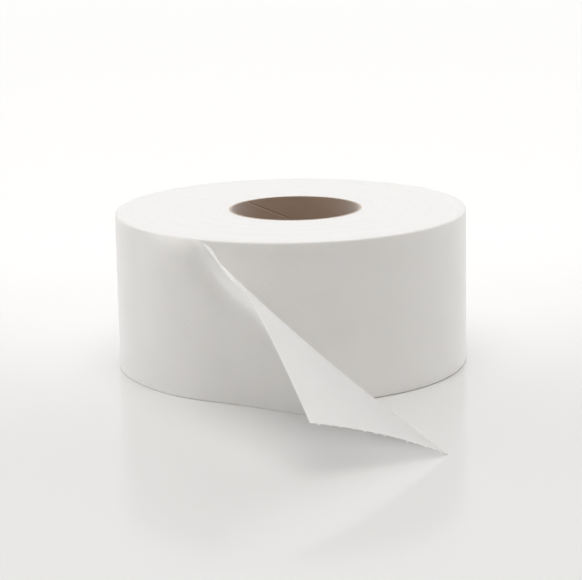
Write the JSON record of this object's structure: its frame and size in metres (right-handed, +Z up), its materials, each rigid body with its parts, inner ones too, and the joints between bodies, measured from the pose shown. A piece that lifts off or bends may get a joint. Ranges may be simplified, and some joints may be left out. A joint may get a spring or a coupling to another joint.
{
  "type": "toilet paper roll",
  "caption": "Large toilet paper roll on a cardboard core, standing on its end, with its loose end folded over on a soft diagonal",
  "frame": {"origin": "on the core's axis, at the end face that the roll stands on", "axes": "+Z up along the core's axis, -Y towards the side where the loose end lies, +X to the right seen from there"},
  "size_m": [0.208, 0.3531, 0.092],
  "materials": {
    "paper": "soft matte tissue with fine crepe",
    "cardboard": "matte brown board, spiral wound"
  },
  "bodies": {
    "root": {"paper_roll": "paper", "core_tube": "cardboard"}
  },
  "joints": []
}
